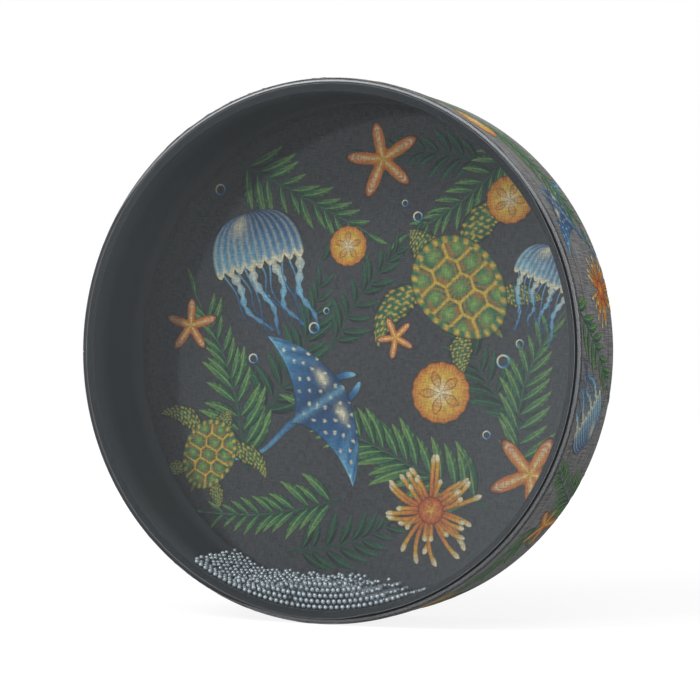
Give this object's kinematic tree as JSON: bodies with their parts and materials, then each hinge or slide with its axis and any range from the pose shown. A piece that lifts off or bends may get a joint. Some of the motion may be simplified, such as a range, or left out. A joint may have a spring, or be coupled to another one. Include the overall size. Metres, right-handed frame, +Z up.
{
  "type": "ocean drum",
  "caption": "Shallow round drum with a clear head, a printed cloth head and a fabric-wrapped hoop, holding loose steel beads that roll round inside it with the sound of surf.",
  "frame": {"origin": "centre of the drum, half-way between its heads on the shell's axis", "axes": "+Z up as the drum stands on edge, +Y along the shell's axis towards the printed back head, -Y towards the viewer through the clear head, +X to the viewer's right"},
  "size_m": [0.3058, 0.061, 0.3058],
  "materials": {
    "shell_fibre": "laminated wood fibre, coated satin blue-black",
    "clear_film": "clear polyester drumhead film, glossy",
    "back_film": "clear polyester drumhead film, glossy",
    "adhesive": "cured black adhesive",
    "printed_cloth": "charcoal woven cloth with a coloured print",
    "wrap_fabric": "charcoal woven cloth with a coloured print",
    "bead_steel": "polished steel balls"
  },
  "bodies": {
    "drum": {"shell_hoop": "shell_fibre", "front_head": "clear_film", "back_head": "back_film", "front_bond": "adhesive", "back_bond": "adhesive", "printed_cloth": "printed_cloth", "side_wrap": "wrap_fabric"},
    "bead_bed": {"bead_layer_1": "bead_steel"},
    "bead_second": {"bead_layer_2": "bead_steel"},
    "bead_third": {"bead_layer_3": "bead_steel"},
    "bead_fourth": {"bead_layer_4": "bead_steel"},
    "bead_top": {"bead_layer_5": "bead_steel"}
  },
  "joints": [
    {"name": "bead_roll", "type": "hinge", "parent": "drum", "child": "bead_bed", "pos_m": [0, 0, 0], "axis": [0, 1, 0], "continuous": true},
    {"name": "second_layer_slip", "type": "hinge", "parent": "bead_bed", "child": "bead_second", "pos_m": [0, 0, 0], "axis": [0, 1, 0], "range_deg": [-3, 12]},
    {"name": "third_layer_slip", "type": "hinge", "parent": "bead_second", "child": "bead_third", "pos_m": [0, 0, 0], "axis": [0, 1, 0], "range_deg": [-3, 5]},
    {"name": "fourth_layer_slip", "type": "hinge", "parent": "bead_third", "child": "bead_fourth", "pos_m": [0, 0, 0], "axis": [0, 1, 0], "range_deg": [-3, 6]},
    {"name": "top_layer_slip", "type": "hinge", "parent": "bead_fourth", "child": "bead_top", "pos_m": [0, 0, 0], "axis": [0, 1, 0], "range_deg": [-4, 5]}
  ]
}
